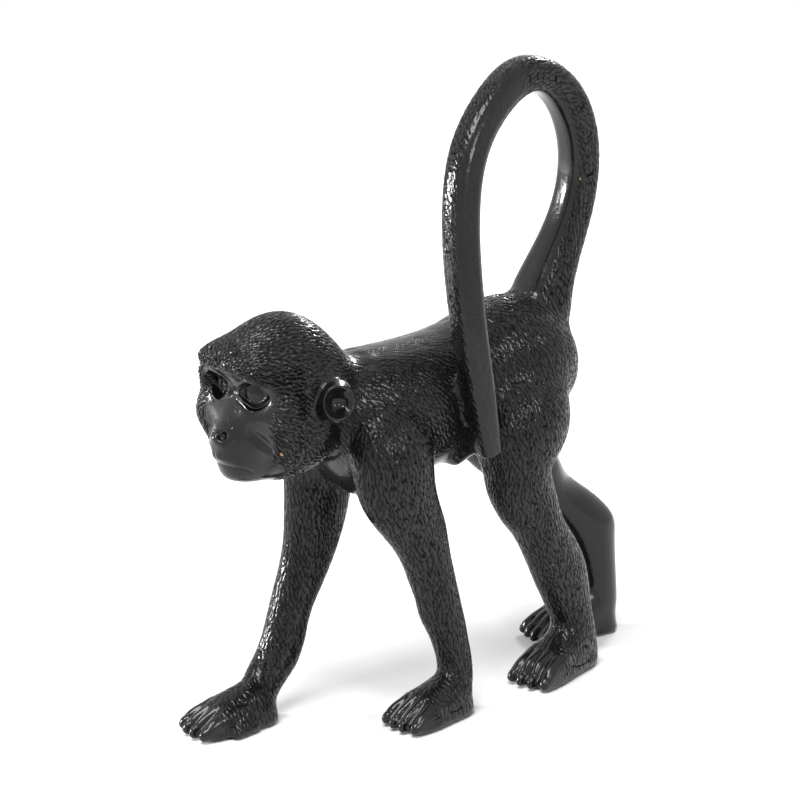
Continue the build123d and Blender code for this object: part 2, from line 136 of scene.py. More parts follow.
# Where a paw is rounded: heights in millimetres, and places along it as shares of its length.
WRIST_FADE = 15.0
SOLE_FADE = (2.0, 9.0)
TOE_LINE = (0.62, 0.85)
TOE_KEEP = 0.75
CROWN_AT = 0.55
CROWN_FLAT = 0.2
CROWN_FADE = 0.26
PAW_HALF_WIDTH = 26.0
LIFT_FROM = (4.0, 18.0)
LIFT_TO = (46.0, 26.0)
# The fingers: where they start, how they fan out, how their tips bow, and the size of a bulge and a nail.
FINGER_START = 0.4
FINGER_FADE = (0.58, 0.80)
FINGER_FAN_ROOT = 0.86
FINGER_FAN_GROWTH = 0.16
FINGER_TIP = 0.93
FINGER_TIP_BOW = 0.06
BULGE_BEHIND_TIP = 0.08
BULGE_SIZE = (0.09, 3.2)
NAIL_SIZE = (0.02, 2.4)
FINGER_SOLE = (1.6, 4.0)

# How far the tufts round the face reach and fade, and how much deeper they are cut.
TUFT_REACH = 5.0
TUFT_FADE = 6.0
TUFT_RISE = 3.0
TUFT_GAIN = 2.0
# How deep the strokes on the body are beside those on the head.
BODY_RELIEF = 0.85

# Where the casting is left smooth.
EAR_SPOT = (39.0, -104.0, 215.0)
EAR_SMOOTH_RADIUS = 18.5
LOOP_MIDDLE = (48.0, 305.0)
BELLY_NORMAL = -0.35
INNER_NORMAL = -0.30
FACE_BACK = -129.5
BROW_TOP = 233.0
BROW_BOW = 0.006
# Spans over which the fur thins out: parts of a normal, heights, places along the body or a paw.
NORMAL_FADE = 0.25
BACK_NORMAL = (0.65, 0.9)
BACK_SPAN = (50.0, 15.0)
BACK_THIN = 0.7
LOW_ARM_SPAN = (165.0, 140.0)
SOLE_FUR = (2.0, 7.0)
PAW_FUR = (0.60, 0.78)
LOOP_INSIDE = (0.45, 0.7)
STRAND_OUTSIDE = (0.35, 0.65)
STRAND_FADE = 8.0
STRAND_THIN = 0.8
FACE_EDGE = (FACE_BACK + 3.0, FACE_BACK - 1.0)
BROW_FADE = 1.5
NEAR_TEMPLE = (33.0, 30.0)
FAR_TEMPLE = (-28.0, -25.0)

# The lie of the fur: how steeply it falls, and the spans over which that changes.
SHOULDER_DROOP = 0.9
HIP_DROOP = 1.6
HIP_SPAN = (-20.0, 60.0)
RUMP_DROOP = 2.0
RUMP_NORMAL = (0.35, 0.8)
CROWN_DROOP = 0.25
CHEEK_DROOP = 0.8
CHEEK_SPAN = (215.0, 185.0)
FACE_SPREAD = 0.35
FACE_SPAN = (-120.0, -150.0)
LIMB_DROOP = 1.1
LIMB_SWEEP = 0.45
LOW_LIMB_STRAIGHTENING = 0.2
LIMB_SPAN = (215.0, 150.0)
TUBE_STEP = 12
TUBE_NEIGHBOURS = 900
TAIL_TWIST = math.radians(24.0)

# One fur stroke: the spread of its sizes, its groove and lip in half widths, and the least fur it needs.
STROKE_LENGTHS = (0.7, 1.3)
STROKE_WIDTHS = (0.75, 1.25)
STROKE_MARGIN = 2.0
GROOVE_SHARPNESS = 1.6
LIP_AT = 1.9
LIP_SHARPNESS = 2.0
LEAST_FUR = 0.15

# The strands in the paint: millimetres round each part for each radian its normal turns, and their slant.
BODY_GIRTH = 36.0
LIMB_GIRTH = 17.0
LOOP_GIRTH = 62.0
TAIL_GIRTH = 11.0
GIRTH_STEP = 200.0
FLANK_LIE = math.radians(62.0)
TAIL_SLANT = 0.45

# Where the mesh is made finer: how near an ear, and how far forward and up the face starts.
EAR_FINE = 17.0
FACE_FINE_BACK = -122.0
FACE_FINE_LOW = 158.0
# How far the open ends of a casting turn inwards.
CAP_DEPTH = 2.0

# Forms pulled out of or pushed into the face: place, reach, and which way they move.
# A place off the mid-plane is used on both sides.
PULLS = (
    ((21.0, -139.0, 192.0), 9.0, (-1.2, 2.2, 0.0)),
    ((14.0, -142.5, 206.0), 8.5, (0.5, -1.6, -0.3)),
    ((10.0, -146.0, 226.0), 6.0, (0.0, 2.6, 0.0)),
    ((0.0, -161.0, 184.0), 14.0, (0.0, 3.2, 0.0)),
    ((0.0, -162.0, 194.0), 5.0, (0.0, -1.6, 0.6)),
    ((5.0, -150.0, 168.0), 9.0, (0.6, -1.6, -0.6)),
)
# The far ruff and temple stand further forward than the near ones.
FAR_PULLS = (
    ((-36.0, -137.0, 201.0), 16.0, (-2.0, -8.0, 0.0)),
    ((-31.0, -139.0, 222.0), 10.0, (-2.0, -8.5, 0.0)),
)

# Lines drawn on the face: half width, height, and the places they run through.
STROKES = (
    (1.0, -0.45, ((0.0, -157.5, 177.2), (5.0, -154.5, 177.6), (10.0, -148.0, 177.4), (14.0, -142.7, 176.2))),
    (3.0, 0.9, ((0.0, -161.0, 182.0), (4.0, -157.0, 182.0), (7.0, -152.0, 181.6))),
    (3.2, -1.7, ((17.0, -142.0, 197.0), (22.0, -138.5, 194.0), (28.0, -135.0, 191.0))),
    (4.0, 1.5, ((30.0, -131.0, 224.0), (32.5, -130.0, 207.0), (31.0, -130.0, 192.0), (27.0, -131.0, 178.0))),
    (2.2, 0.8, ((3.0, -160.0, 199.0), (7.0, -154.0, 198.0), (8.0, -152.0, 193.5), (5.0, -157.0, 189.0))),
)
NOSTRIL = (3.8, -158.0, 194.6)
NOSTRIL_RADIUS = 2.7
NOSTRIL_DEPTH = 3.0
MIDLINE = 1.5

# The eye: its middle, the way it looks, its half width and half height, and its relief.
EYE = (15.6, -142.6, 219.6)
EYE_LOOK = (0.40, -0.91, 0.06)
EYE_HALF_WIDTH = 7.8
EYE_HALF_HEIGHT = 4.9
EYE_BULGE = 3.4
EYE_SINK = 1.5
SOCKET_FLOOR = 0.3
EYE_ROUND = 0.55
EYE_POINT = 0.3
EYE_POINT_END = 1.1
EYE_REACH = 8.0
EYE_DEPTH = (13.0, 9.0)
EYE_BRIDGE = (1.5, 4.5)
BALL_EDGE = (1.02, 0.92)
BALL_FADE = (1.0, 1.45)
SOCKET_FADE = (1.7, 2.5)
# How much shine the eyeballs and the bare face lose.
EYE_DULL = 0.3
FACE_DULL = 0.1
# Rings round the eye: how far out as a share of the opening, half width, height above and below the eye.
# Rings beyond the lid's edge fade towards the nose.
LID_EDGE = 1.2
LID_RINGS = (
    (1.08, 0.10, 1.8, 1.7),
    (1.34, 0.11, -1.0, -0.6),
    (1.72, 0.22, 0.5, 1.3),
    (2.2, 0.2, 0.0, -0.5),
)
LID_BELOW = (0.3, -0.4)
LID_OUTER = (-1.1, 0.0)

# The ear: its middle, the way its mouth looks, half width and half height, rim, bowl and lobe.
EAR = (41.0, -104.5, 213.6)
EAR_LOOK = (0.875, -0.408, 0.18)
EAR_HALF_WIDTH = 9.6
EAR_HALF_HEIGHT = 11.2
EAR_STAND = 2.2
EAR_RIM = 3.4
EAR_BOWL = 5.6
EAR_LOBE = 1.6
EAR_REGION = 26.0
# The ear's mouth, rim, bowl and lobe in half ears, and how far from its face and its middle it reaches.
EAR_MOUTH = (0.1, 0.7)
EAR_MOUTH_HEIGHT = (1.0, 0.5)
EAR_MOUTH_DROP = 0.05
EAR_RIM_AT = 0.86
EAR_RIM_WIDTH = 0.17
EAR_BOWL_AT = (0.1, -0.06)
EAR_BOWL_STRETCH = 1.1
EAR_BOWL_SIZE = 0.56
EAR_BOWL_STEEPNESS = 2.6
EAR_LOBE_AT = (0.55, -0.75)
EAR_LOBE_SIZE = 0.3
EAR_DEPTH = (12.0, 8.0)
EAR_FADE = (0.85, 1.35)

# The paint: the edges of flecks and dashes, the relief of pores and dashes in metres, and the shine, which
# falls to the shaded value in grooves and dashes as painted shade.
FLECK_EDGE = 0.02
DASH_EDGE = 0.06
PORE_DEPTH = 0.0004
DASH_DEPTH = 0.0006
SHINE = 0.26
SHADED_GROOVE_SHINE = 0.03

# The stage: lamps by name, with place, size in metres and power in watts, all aimed at the figure's middle.
LAMPS = (
    ("front", (-1.5, -1.8, 0.6), 0.5, 70.0),
    ("side", (2.0, 0.3, 1.1), 0.5, 9.0),
    ("back", (-1.0, 1.7, 1.3), 0.5, 20.0),
)
LAMP_TARGET = (0.0, 0.0, 0.2)
KEY_WAY = (0.25, -0.45, 1.0)
FLOOR_HALF = 6.0
FLOOR_TONE = 0.97
SENSOR_WIDTH = 36.0
NEAR_CLIP = 0.05


def smoothstep(low, high, value):
    """A soft step from 0 at low to 1 at high."""
    share = np.clip((value - low) / (high - low), 0.0, 1.0)
    return share * share * (3.0 - 2.0 * share)


def unit(rows):
    """Each row at length one."""
    return rows / np.maximum(np.linalg.norm(rows, axis=1, keepdims=True), TINY)


def sculpt_shift():
    """What is added to a place in the row, in millimetres, to measure it from the monkey's mid-plane."""
    low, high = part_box("torso")
    middle = (low.x + high.x) / 2.0 / MM
    return np.array((-middle, TORSO_FRONT - low.y / MM, 0.0))


def mesh_points(mesh):
    """The mesh's vertices as rows."""
    rows = np.empty(len(mesh.vertices) * 3, np.float32)
    mesh.vertices.foreach_get("co", rows)
    return rows.reshape(-1, 3).astype(float)


def mesh_normals(mesh):
    """The mesh's smooth vertex normals as rows."""
    rows = np.empty(len(mesh.vertices) * 3, np.float32)
    mesh.vertex_normals.foreach_get("vector", rows)
    return rows.reshape(-1, 3).astype(float)


def mesh_edges(mesh):
    """The mesh's edges as pairs of vertex numbers."""
    rows = np.empty(len(mesh.edges) * 2, np.int32)
    mesh.edges.foreach_get("vertices", rows)
    return rows.reshape(-1, 2)


def set_points(mesh, rows):
    """Moves the mesh's vertices to these rows."""
    mesh.vertices.foreach_set("co", rows.astype(np.float32).ravel())
    mesh.update()


def read_faces(mesh, name):
    """A whole number kept on each face."""
    values = np.empty(len(mesh.polygons), np.int32)
    mesh.attributes[name].data.foreach_get("value", values)
    return values


def write_faces(mesh, name, values):
    """Keeps a whole number on each face."""
    layer = mesh.attributes.new(name, "INT", "FACE")
    layer.data.foreach_set("value", values.astype(np.int32))


def casting_triangles(shift):
    """All castings as one soup of triangles, with the casting each triangle is from."""
    points, triangles, owners = [], [], []
    for number, name in enumerate(CASTINGS):
        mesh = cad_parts[name].data
        mesh.calc_loop_triangles()
        start = sum(len(block) for block in points)
        points.append(mesh_points(mesh) / MM + shift)
        corners = np.empty(len(mesh.loop_triangles) * 3, np.int32)
        mesh.loop_triangles.foreach_get("vertices", corners)
        triangles.append(corners.reshape(-1, 3) + start)
        owners.append(np.full(len(mesh.loop_triangles), number))
    return np.vstack(points), np.vstack(triangles), np.concatenate(owners)


def evaluated(mesh, kind, **settings):
    """The mesh after one modifier."""
    thing = bpy.data.objects.new("work", mesh)
    bpy.context.scene.collection.objects.link(thing)
    modifier = thing.modifiers.new("work", kind)
    for key, value in settings.items():
        setattr(modifier, key, value)
    graph = bpy.context.evaluated_depsgraph_get()
    result = bpy.data.meshes.new_from_object(thing.evaluated_get(graph), depsgraph=graph)
    bpy.data.objects.remove(thing)
    bpy.data.meshes.remove(mesh)
    return result


def keep_largest(mesh):
    """Drops every loose shell other than the largest, such as the walls of the pin sockets."""
    edges = mesh_edges(mesh)
    group = np.arange(len(mesh.vertices))
    while True:
        lowest = np.minimum(group[edges[:, 0]], group[edges[:, 1]])
        update = group.copy()
        np.minimum.at(update, edges[:, 0], lowest)
        np.minimum.at(update, edges[:, 1], lowest)
        update = update[update]
        if np.array_equal(update, group):
            break
        group = update
    biggest = np.bincount(group).argmax()
    work = bmesh.new()
    work.from_mesh(mesh)
    loose = [vertex for vertex in work.verts if group[vertex.index] != biggest]
    bmesh.ops.delete(work, geom=loose, context="VERTS")
    work.to_mesh(mesh)
    work.free()


def fuse_castings(shift, voxel):
    """One skin over all castings, each of its faces marked with the casting it lies on."""
    points, triangles, owners = casting_triangles(shift)
    mesh = bpy.data.meshes.new("skin")
    mesh.from_pydata(points.tolist(), [], triangles.tolist())
    mesh = evaluated(mesh, "REMESH", mode="VOXEL", voxel_size=voxel, use_smooth_shade=True)
    keep_largest(mesh)
    tree = BVHTree.FromPolygons(points.tolist(), triangles.tolist())
    labels = [owners[tree.find_nearest(face.center)[2]] for face in mesh.polygons]
    write_faces(mesh, "casting", np.array(labels))
    return mesh


def corner_table(mesh):
    """The vertex at each face corner, and the face that corner is on."""
    vertices = np.empty(len(mesh.loops), np.int32)
    mesh.loops.foreach_get("vertex_index", vertices)
    totals = np.empty(len(mesh.polygons), np.int32)
    mesh.polygons.foreach_get("loop_total", totals)
    return vertices, np.repeat(np.arange(len(totals)), totals)


def vertex_labels(mesh):
    """For each vertex, the lowest and the highest casting number around it."""
    faces = read_faces(mesh, "casting")
    vertices, owners = corner_table(mesh)
    lowest = np.full(len(mesh.vertices), len(CASTINGS))
    highest = np.full(len(mesh.vertices), -1)
    np.minimum.at(lowest, vertices, faces[owners])
    np.maximum.at(highest, vertices, faces[owners])
    return lowest, highest


def relax(points, edges, weights, passes):
    """Smooths the points, each by its own weight."""
    points = points.copy()
    moving = np.flatnonzero(weights > 0.0)
    row = np.full(len(points), -1)
    row[moving] = np.arange(len(moving))
    ends = np.concatenate((edges[:, 0], edges[:, 1]))
    others = np.concatenate((edges[:, 1], edges[:, 0]))
    used = row[ends] >= 0
    ends, others = row[ends[used]], others[used]
    count = len(moving)
    degree = np.maximum(np.bincount(ends, minlength=count), 1)
    share = (weights[moving] * RELAX_STEP)[:, None]
    for _ in range(passes):
        sums = [np.bincount(ends, points[others, axis], count) for axis in range(3)]
        mean = np.stack(sums, 1) / degree[:, None]
        points[moving] += (mean - points[moving]) * share
    return points


def near_weight(points, spots, reach):
    """1 on the spots, falling to 0 at the reach."""
    weight = np.zeros(len(points))
    tree = KDTree(len(spots))
    for number, spot in enumerate(spots):
        tree.insert(spot, number)
    tree.balance()
    low, high = spots.min(0) - reach, spots.max(0) + reach
    inside = np.flatnonzero(np.all((points > low) & (points < high), axis=1))
    for number in inside:
        distance = tree.find(points[number])[2]
        weight[number] = max(0.0, 1.0 - distance / reach)
    return weight


def seam_weight(points, lowest, highest):
    """How strongly each point is smoothed into the seam near it."""
    low_tip = (highest == TAIL) & (points[:, 2] < TAIL_TIP_BELOW)
    seams = (
        (np.isin(highest, ARMS + LEGS) & (lowest == TORSO), SHOULDER_BLEND),
        ((highest == HEAD) & (lowest == TORSO), NECK_BLEND),
        ((highest == TAIL) & (lowest < TAIL) & ~low_tip, TAIL_ROOT_BLEND),
        (low_tip & (lowest < TAIL), TAIL_TIP_BLEND),
    )
    weight = np.zeros(len(points))
    for chosen, reach in seams:
        if chosen.any():
            weight = np.maximum(weight, near_weight(points, points[chosen], reach))
    return smoothstep(0.0, 1.0, weight)


def spot_weight(points, spot, radius):
    """1 at a spot on either side of the mid-plane, falling to 0 at the radius."""
    mirrored = np.stack((np.abs(points[:, 0]), points[:, 1], points[:, 2]), 1)
    distance = np.linalg.norm(mirrored - np.array(spot), axis=1)
    return 1.0 - smoothstep(radius * SPOT_CORE, radius, distance)


def soften(mesh):
    """Blends the castings into one another, as filler and paint do."""
    points, edges = mesh_points(mesh), mesh_edges(mesh)
    lowest, highest = vertex_labels(mesh)
    points = relax(points, edges, np.ones(len(points)), SKIN_PASSES)
    points = relax(points, edges, (highest == TORSO).astype(float), TRUNK_PASSES)
    points = relax(points, edges, seam_weight(points, lowest, highest), SEAM_PASSES)
    ruff = spot_weight(points, RUFF_SPOT, RUFF_SPOT_RADIUS) * (highest == HEAD)
    points = relax(points, edges, ruff, RUFF_PASSES)
    points = soften_paws(points, edges, highest)
    for place, reach, way in LIMB_PULLS:
        points = pull(points, place, reach, way)
    set_points(mesh, points)


def paw_places(points, paw):
    """How far along a paw each point is, as a share of its length, and how far across it."""
    _, heel, turn, length = paw
    flat = points[:, :2] - np.array(heel)
    along = flat @ np.array((math.sin(turn), -math.cos(turn))) / length
    across = flat @ np.array((math.cos(turn), math.sin(turn)))
    return along, across


def soften_paws(points, edges, labels):
    """Rounds the wrists, ankles, hands and feet, and leaves their soles level."""
    heights = points[:, 2]
    low = np.isin(labels, ARMS + LEGS) & (heights < WRIST_TOP)
    weight = smoothstep(WRIST_TOP, WRIST_TOP - WRIST_FADE, heights) * smoothstep(*SOLE_FADE, heights) * low
    for paw in PAWS:
        along = paw_places(points, paw)[0]
        weight *= 1.0 - TOE_KEEP * smoothstep(*TOE_LINE, along) * (labels == paw[0])
    smooth = relax(points, edges, weight, PAW_PASSES)
    for paw in PAWS:
        along, across = paw_places(smooth, paw)
        past = np.clip(np.abs(along - CROWN_AT) - CROWN_FLAT, 0.0, None)
        crown = np.exp(-((past / CROWN_FADE) ** 2)) * (np.abs(across) < PAW_HALF_WIDTH)
        lift = PAW_LIFT * crown * smoothstep(*LIFT_FROM, smooth[:, 2]) * smoothstep(*LIFT_TO, smooth[:, 2])
        smooth[:, 2] += lift * (labels == paw[0])
    return smooth


def spot_relief(along, across, size):
    """A round swelling, 1 at its middle, of this size along and across."""
    return np.exp(-((along / size[0]) ** 2) - (across / size[1]) ** 2)


def sculpt_fingers(mesh):
    """Cuts the grooves between the fingers and toes, and swells each tip with a nail in it."""
    points, normals = mesh_points(mesh), mesh_normals(mesh)
    labels = vertex_labels(mesh)[1]
    rise = np.zeros(len(points))
    for paw in PAWS:
        along, across = paw_places(points, paw)
        near = (labels == paw[0]) & (along > FINGER_START) & (points[:, 2] < FINGER_TOP)
        fade = smoothstep(*FINGER_FADE, along) * near
        for groove in FINGER_GROOVES:
            spread = groove * (FINGER_FAN_ROOT + FINGER_FAN_GROWTH * along)
            rise -= FINGER_DEPTH * fade * np.exp(-(((across - spread) / FINGER_GROOVE_WIDTH) ** 2))
        for finger in FINGERS:
            tip = FINGER_TIP - FINGER_TIP_BOW * abs(finger) / FINGERS[-1]
            bulge = spot_relief(along - tip + BULGE_BEHIND_TIP, across - finger, BULGE_SIZE)
            nail = spot_relief(along - tip, across - finger, NAIL_SIZE)
            rise += (FINGER_BULGE * bulge - FINGER_NAIL * nail) * near
    rise *= smoothstep(*FINGER_SOLE, points[:, 2])
    set_points(mesh, points + normals * rise[:, None])


def tube_axes(points, normals, chosen):
    """The way a round limb runs at each chosen point: the direction its normals turn about."""
    spots = np.flatnonzero(chosen)
    tree = KDTree(len(spots))
    for row, number in enumerate(spots):
        tree.insert(points[number], row)
    tree.balance()
    axes = np.zeros((len(points), 3))
    for row, number in enumerate(spots):
        if row % TUBE_STEP:
            continue
        around = [found[1] for found in tree.find_n(points[number], TUBE_NEIGHBOURS)]
        block = normals[spots[around]]
        axes[number] = np.linalg.eigh(block.T @ block)[1][:, 0]
    known = spots[::TUBE_STEP]
    sparse = KDTree(len(known))
    for row, number in enumerate(known):
        sparse.insert(points[number], row)
    sparse.balance()
    for number in spots:
        axes[number] = axes[known[sparse.find(points[number])[1]]]
    return axes


def fur_flow(points, normals, labels):
    """The way the fur lies at each point."""
    side = np.sign(points[:, 0])
    flank = np.abs(normals[:, 0])
    flow = np.zeros((len(points), 3))
    flow[:, 1] = 1.0
    flow[:, 2] = -flank * (SHOULDER_DROOP + HIP_DROOP * smoothstep(*HIP_SPAN, points[:, 1]))
    flow[:, 2] -= RUMP_DROOP * smoothstep(*RUMP_NORMAL, normals[:, 1])
    head = labels == HEAD
    flow[head, 2] = -CROWN_DROOP - CHEEK_DROOP * smoothstep(*CHEEK_SPAN, points[head, 2])
    flow[head, 0] = FACE_SPREAD * side[head] * smoothstep(*FACE_SPAN, points[head, 1])
    limbs = np.isin(labels, ARMS + LEGS)
    low = smoothstep(*LIMB_SPAN, points[:, 2])
    flow[limbs, 1] = LIMB_SWEEP - LOW_LIMB_STRAIGHTENING * low[limbs]
    flow[limbs, 2] = -LIMB_DROOP
    tail = labels == TAIL
    axes = tube_axes(points, normals, tail)[tail]
    across = np.cross(normals[tail], axes)
    flow[tail] = axes * math.cos(TAIL_TWIST) + across * math.sin(TAIL_TWIST)
    flow -= normals * np.sum(flow * normals, axis=1, keepdims=True)
    return unit(flow)


def fur_mask(points, normals, labels):
    """1 where the casting is carved with fur and 0 where it is smooth."""
    x, y, z = points.T
    mask = np.ones(len(points))
    trunk = labels == TORSO
    mask[trunk] = smoothstep(BELLY_NORMAL - NORMAL_FADE, BELLY_NORMAL, normals[trunk, 2])
    thin = BACK_THIN * smoothstep(*BACK_NORMAL, normals[trunk, 2])
    mask[trunk] *= 1.0 - thin * smoothstep(*BACK_SPAN, y[trunk])
    limbs = np.isin(labels, ARMS + LEGS)
    outward = np.where(np.isin(labels, (LEFT_ARM, LEFT_LEG)), 1.0, -1.0) * normals[:, 0]
    inner = smoothstep(INNER_NORMAL - NORMAL_FADE, INNER_NORMAL, outward)
    low_arm = np.isin(labels, ARMS) * smoothstep(*LOW_ARM_SPAN, z)
    mask[limbs] = np.maximum(inner, low_arm)[limbs]
    mask *= smoothstep(*SOLE_FUR, z)
    for paw in PAWS:
        along = paw_places(points, paw)[0]
        mask *= 1.0 - smoothstep(*PAW_FUR, along) * (z < FINGER_TOP) * (labels == paw[0])
    tail = labels == TAIL
    inward = np.stack((LOOP_MIDDLE[0] - y, LOOP_MIDDLE[1] - z), 1)
    facing = np.sum(unit(inward) * normals[:, 1:], axis=1)
    mask[tail] = 1.0 - smoothstep(*LOOP_INSIDE, facing[tail])
    front = smoothstep(LOOP_MIDDLE[0] + STRAND_FADE, LOOP_MIDDLE[0] - STRAND_FADE, y)
    plain = smoothstep(*STRAND_OUTSIDE, normals[:, 0]) * front
    mask[tail] *= 1.0 - STRAND_THIN * plain[tail]
    head = labels == HEAD
    brow = BROW_TOP - BROW_BOW * x * x
    face = smoothstep(*FACE_EDGE, y) * smoothstep(brow + BROW_FADE, brow - BROW_FADE, z)
    face *= smoothstep(*NEAR_TEMPLE, x) * smoothstep(*FAR_TEMPLE, x)
    mask[head] *= 1.0 - face[head]
    ear = spot_weight(points, EAR_SPOT, EAR_SMOOTH_RADIUS)
    mask[head] *= 1.0 - ear[head]
    return mask


def face_border(points):
    """1 along the edge of the face, where the fur stands in coarse tufts, and 0 elsewhere."""
    x, y, z = points.T
    beside = np.exp(-(((y - FACE_BACK - TUFT_REACH) / TUFT_REACH) ** 2))
    beside *= smoothstep(BROW_TOP + TUFT_FADE, BROW_TOP, z)
    above = np.exp(-(((z - BROW_TOP + BROW_BOW * x * x - TUFT_RISE) / TUFT_REACH) ** 2))
    above *= y < FACE_BACK + TUFT_REACH
    return np.maximum(beside, above)


def scatter(points, chance, spacing, tries, rng):
    """Numbers of vertices spread over the skin, no two nearer than the spacing."""
    order = rng.choice(len(points), size=tries, p=chance / chance.sum())
    cells, kept = {}, []
    offsets = [(i, j, k) for i in (-1, 0, 1) for j in (-1, 0, 1) for k in (-1, 0, 1)]
    for number in order:
        place = points[number]
        cell = tuple(np.floor(place / spacing).astype(int))
        near = [cells[key] for key in (tuple(np.add(cell, step)) for step in offsets) if key in cells]
        rivals = [rival for group in near for rival in group]
        if any(np.sum((points[rival] - place) ** 2) < spacing * spacing for rival in rivals):
            continue
        cells.setdefault(cell, []).append(number)
        kept.append(number)
    return kept


def carve_fur(points, normals, labels, mask, carving):
    """How deep in a fur stroke, and how far up the lip of one, each point is."""
    rng = np.random.default_rng(carving.seed)
    flow = fur_flow(points, normals, labels)
    seeds = scatter(points, np.clip(mask, 0.0, 1.0) + TINY, carving.spacing, carving.tries, rng)
    tree = KDTree(len(points))
    for number, place in enumerate(points):
        tree.insert(place, number)
    tree.balance()
    depth = np.zeros(len(points))
    crest = np.zeros(len(points))
    for number in seeds:
        if mask[number] < LEAST_FUR:
            continue
        turn = rng.normal(0.0, carving.waver)
        length = carving.length * rng.uniform(*STROKE_LENGTHS) / 2.0
        width = carving.width * rng.uniform(*STROKE_WIDTHS) / 2.0
        along = flow[number] * math.cos(turn) + np.cross(normals[number], flow[number]) * math.sin(turn)
        across = np.cross(normals[number], along)
        reach = length + STROKE_MARGIN * width
        found = np.array([hit[1] for hit in tree.find_range(points[number], reach)])
        offset = points[found] - points[number]
        u = offset @ along / length
        v = offset @ across / width
        end = np.clip(1.0 - u * u, 0.0, 1.0) * mask[number]
        depth[found] = np.maximum(depth[found], end * np.exp(-v * v * GROOVE_SHARPNESS))
        lip = np.exp(-((np.abs(v) - LIP_AT) ** 2) * LIP_SHARPNESS)
        crest[found] = np.maximum(crest[found], end * lip)
    return depth, crest


def refine_face(mesh):
    """Splits the faces over the front of the head, where the carving is finest."""
    work = bmesh.new()
    work.from_mesh(mesh)
    chosen = set()
    for face in work.faces:
        x, y, z = face.calc_center_median()
        ear = math.dist((abs(x), y, z), EAR) < EAR_FINE
        if ear or (y < FACE_FINE_BACK and z > FACE_FINE_LOW):
            chosen.update(face.edges)
    bmesh.ops.subdivide_edges(work, edges=list(chosen), cuts=1, use_grid_fill=True, smooth=0.0)
    bmesh.ops.triangulate(work, faces=[face for face in work.faces if len(face.verts) > 4])
    work.to_mesh(mesh)
    work.free()


def local_axes(place, way, side):
    """The middle of an eye or ear on one side, and its axes: back along the head, up and the way it looks."""
    look = np.array(way) * (side, 1.0, 1.0)
    look /= np.linalg.norm(look)
    out = np.cross((0.0, 0.0, 1.0), look) * -side
    out /= np.linalg.norm(out)
    up = np.cross(look, out) * side
    up *= np.sign(up[2])
    return np.array(place) * (side, 1.0, 1.0), out, up, look


def eye_relief(u, v):
    """Height of the eyeball and lids at places measured in half openings."""
    almond = np.sqrt(u * u + (v * (1.0 + EYE_POINT * np.clip(u * u, 0.0, EYE_POINT_END))) ** 2)
    ball = EYE_BULGE * np.sqrt(np.clip(1.0 - EYE_ROUND * (u * u + v * v), 0.0, 1.0)) - EYE_SINK
    rings = np.zeros(len(u))
    below = smoothstep(*LID_BELOW, v)
    outer = smoothstep(*LID_OUTER, u)
    for share, width, over, under in LID_RINGS:
        ring = (over + (under - over) * below) * np.exp(-(((almond - share) / width) ** 2))
        rings += np.where(share > LID_EDGE, outer, 1.0) * ring
    return np.where(almond < 1.0, ball, 0.0), rings, almond


def eye_mask(points):
    """1 on the eyeballs and 0 elsewhere."""
    mask = np.zeros(len(points))
    for side in (1.0, -1.0):
        middle, out, up, look = local_axes(EYE, EYE_LOOK, side)
        offset = points - middle
        almond = eye_relief(offset @ out / EYE_HALF_WIDTH, offset @ up / EYE_HALF_HEIGHT)[2]
        mask = np.maximum(mask, smoothstep(*BALL_EDGE, almond) * (np.abs(offset @ look) < EYE_REACH))
    return mask


def sculpt_eyes(points):
    """Sets both eyes and their lids into the face."""
    for side in (1.0, -1.0):
        middle, out, up, look = local_axes(EYE, EYE_LOOK, side)
        offset = points - middle
        u = offset @ out / EYE_HALF_WIDTH
        v = offset @ up / EYE_HALF_HEIGHT
        level = offset @ look
        ball, rings, almond = eye_relief(u, v)
        near = smoothstep(*EYE_DEPTH, np.abs(level)) * smoothstep(*EYE_BRIDGE, side * points[:, 0])
        socket = 1.0 - smoothstep(*SOCKET_FADE, almond)
        fill = socket * near * np.clip(-SOCKET_FLOOR - level, 0.0, None)
        points = points + look * fill[:, None]
        level = level + fill
        set_in = (1.0 - smoothstep(*BALL_FADE, almond)) * near
        points = points + look * (set_in * (ball - level) + rings * near)[:, None]
    return points


def ear_relief(u, v):
    """Height of the ear at places measured in half ears, u towards the face."""
    out = np.hypot(u, v)
    mouth = smoothstep(*EAR_MOUTH, u) * smoothstep(*EAR_MOUTH_HEIGHT, np.abs(v + EAR_MOUTH_DROP))
    rim = EAR_RIM * np.exp(-(((out - EAR_RIM_AT) / EAR_RIM_WIDTH) ** 2))
    height = (rim + EAR_STAND) * (1.0 - mouth)
    bowl = np.hypot((u - EAR_BOWL_AT[0]) / EAR_BOWL_STRETCH, v - EAR_BOWL_AT[1]) / EAR_BOWL_SIZE
    height -= EAR_BOWL * np.exp(-(bowl**EAR_BOWL_STEEPNESS))
    lobe = np.hypot(u - EAR_LOBE_AT[0], v - EAR_LOBE_AT[1]) / EAR_LOBE_SIZE
    height += EAR_LOBE * np.exp(-(lobe**2))
    return height, out


def sculpt_ears(points):
    """Models the rim, bowl and lobe of both ears."""
    for side in (1.0, -1.0):
        middle, out, up, look = local_axes(EAR, EAR_LOOK, side)
        offset = points - middle
        u = -(offset @ out) / EAR_HALF_WIDTH
        v = offset @ up / EAR_HALF_HEIGHT
        level = offset @ look
        height, away = ear_relief(u, v)
        near = smoothstep(*EAR_DEPTH, np.abs(level)) * (1.0 - smoothstep(*EAR_FADE, away))
        points = points + look * (near * (height - level))[:, None]
    return points


def sides_of(place):
    """A place, and its mirror image if it is off the mid-plane."""
    if place[0] == 0.0:
        return (1.0,)
    return (1.0, -1.0)


def pull(points, place, reach, way):
    """Moves the points round a place, most at its middle."""
    distance = np.linalg.norm(points - np.array(place), axis=1)
    return points + np.exp(-((distance / reach) ** 2))[:, None] * np.array(way)


